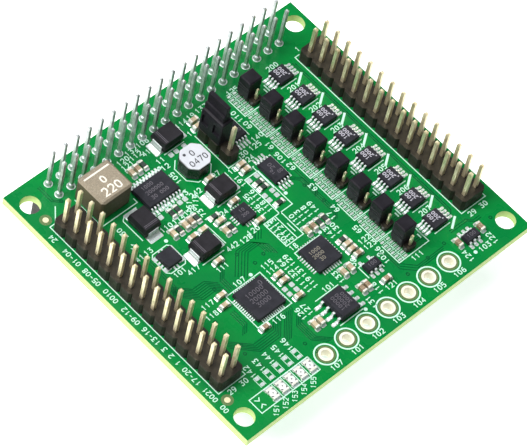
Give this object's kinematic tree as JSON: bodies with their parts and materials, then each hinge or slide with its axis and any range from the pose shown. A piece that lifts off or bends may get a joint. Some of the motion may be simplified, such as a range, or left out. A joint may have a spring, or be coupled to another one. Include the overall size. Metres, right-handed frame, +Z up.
{
  "type": "servo driver board",
  "caption": "Stack-on driver board: through-pin connector at the back, side pin headers, a column of jumpered channels and a row of test points.",
  "frame": {"origin": "centre of the four mounting holes, on the underside of the laminate", "axes": "+X along the long side, +Y towards the stack-through connector, +Z up through the component side"},
  "size_m": [0.063, 0.056, 0.0214],
  "materials": {
    "green_board": "green solder mask over glass epoxy",
    "black_housing": "moulded, satin gloss",
    "shunt_black": "moulded, satin",
    "gold_pin": "gold plated",
    "gold_plate": "gold plated",
    "tin_pin": "tin plated",
    "tin_lead": "tin plated",
    "tin_end": "tinned chip ends",
    "solder": "bright solder",
    "package": "moulding compound",
    "diode_black": "moulding compound",
    "pressed_core": "pressed iron powder",
    "ferrite": "ferrite",
    "copper_wire": "enamelled copper",
    "white_cover": "white cover",
    "capacitor_ceramic": "fired ceramic",
    "resistor_black": "glazed",
    "led_lens": "clear epoxy on white"
  },
  "bodies": {
    "board": {"laminate": "green_board", "test_point_rings": "gold_plate", "stack_socket_housing": "black_housing", "stack_socket_contacts": "tin_pin", "stack_solder_joints": "solder", "left_header_housing": "black_housing", "left_header_pins": "gold_pin", "right_header_housing": "black_housing", "right_header_pins": "gold_pin", "selector_header_housing": "black_housing", "selector_header_pins": "gold_pin", "channel_header_housings": "black_housing", "channel_header_pins": "gold_pin", "header_solder_joints": "solder", "driver_ic_bodies": "package", "driver_ic_leads": "tin_lead", "regulator_ic_body": "package", "regulator_ic_leads": "tin_lead", "amplifier_ic_bodies": "package", "amplifier_ic_leads": "tin_lead", "memory_ic_body": "package", "memory_ic_leads": "tin_lead", "controller_ic_body": "package", "converter_ic_body": "package", "monitor_ic_body": "package", "switch_ic_body": "package", "leadless_ic_pads": "tin_lead", "small_outline_bodies": "package", "small_outline_leads": "tin_lead", "diode_bodies": "diode_black", "diode_leads": "tin_lead", "power_inductor_core": "pressed_core", "power_inductor_coil": "copper_wire", "filter_inductor_shield": "ferrite", "filter_inductor_spool": "ferrite", "filter_inductor_winding": "copper_wire", "filter_inductor_cover": "white_cover", "inductor_terminals": "tin_lead", "capacitor_bodies": "capacitor_ceramic", "resistor_bodies": "resistor_black", "led_bodies": "led_lens", "chip_end_caps": "tin_end"},
    "selector_shunt": {"selector_shunt_housing": "shunt_black", "selector_shunt_clip": "gold_plate"},
    "channel_shunt_1": {"channel_shunt_1_housing": "shunt_black", "channel_shunt_1_clip": "gold_plate"},
    "channel_shunt_2": {"channel_shunt_2_housing": "shunt_black", "channel_shunt_2_clip": "gold_plate"},
    "channel_shunt_3": {"channel_shunt_3_housing": "shunt_black", "channel_shunt_3_clip": "gold_plate"},
    "channel_shunt_4": {"channel_shunt_4_housing": "shunt_black", "channel_shunt_4_clip": "gold_plate"},
    "channel_shunt_5": {"channel_shunt_5_housing": "shunt_black", "channel_shunt_5_clip": "gold_plate"},
    "channel_shunt_6": {"channel_shunt_6_housing": "shunt_black", "channel_shunt_6_clip": "gold_plate"},
    "channel_shunt_7": {"channel_shunt_7_housing": "shunt_black", "channel_shunt_7_clip": "gold_plate"},
    "channel_shunt_8": {"channel_shunt_8_housing": "shunt_black", "channel_shunt_8_clip": "gold_plate"}
  },
  "joints": [
    {"name": "selector_shunt_lift", "type": "slide", "parent": "board", "child": "selector_shunt", "axis": [0, 0, 1], "range_m": [0, 0.008]},
    {"name": "channel_shunt_1_lift", "type": "slide", "parent": "board", "child": "channel_shunt_1", "axis": [0, 0, 1], "range_m": [0, 0.004]},
    {"name": "channel_shunt_2_lift", "type": "slide", "parent": "board", "child": "channel_shunt_2", "axis": [0, 0, 1], "range_m": [0, 0.004]},
    {"name": "channel_shunt_3_lift", "type": "slide", "parent": "board", "child": "channel_shunt_3", "axis": [0, 0, 1], "range_m": [0, 0.004]},
    {"name": "channel_shunt_4_lift", "type": "slide", "parent": "board", "child": "channel_shunt_4", "axis": [0, 0, 1], "range_m": [0, 0.004]},
    {"name": "channel_shunt_5_lift", "type": "slide", "parent": "board", "child": "channel_shunt_5", "axis": [0, 0, 1], "range_m": [0, 0.004]},
    {"name": "channel_shunt_6_lift", "type": "slide", "parent": "board", "child": "channel_shunt_6", "axis": [0, 0, 1], "range_m": [0, 0.004]},
    {"name": "channel_shunt_7_lift", "type": "slide", "parent": "board", "child": "channel_shunt_7", "axis": [0, 0, 1], "range_m": [0, 0.004]},
    {"name": "channel_shunt_8_lift", "type": "slide", "parent": "board", "child": "channel_shunt_8", "axis": [0, 0, 1], "range_m": [0, 0.004]}
  ]
}
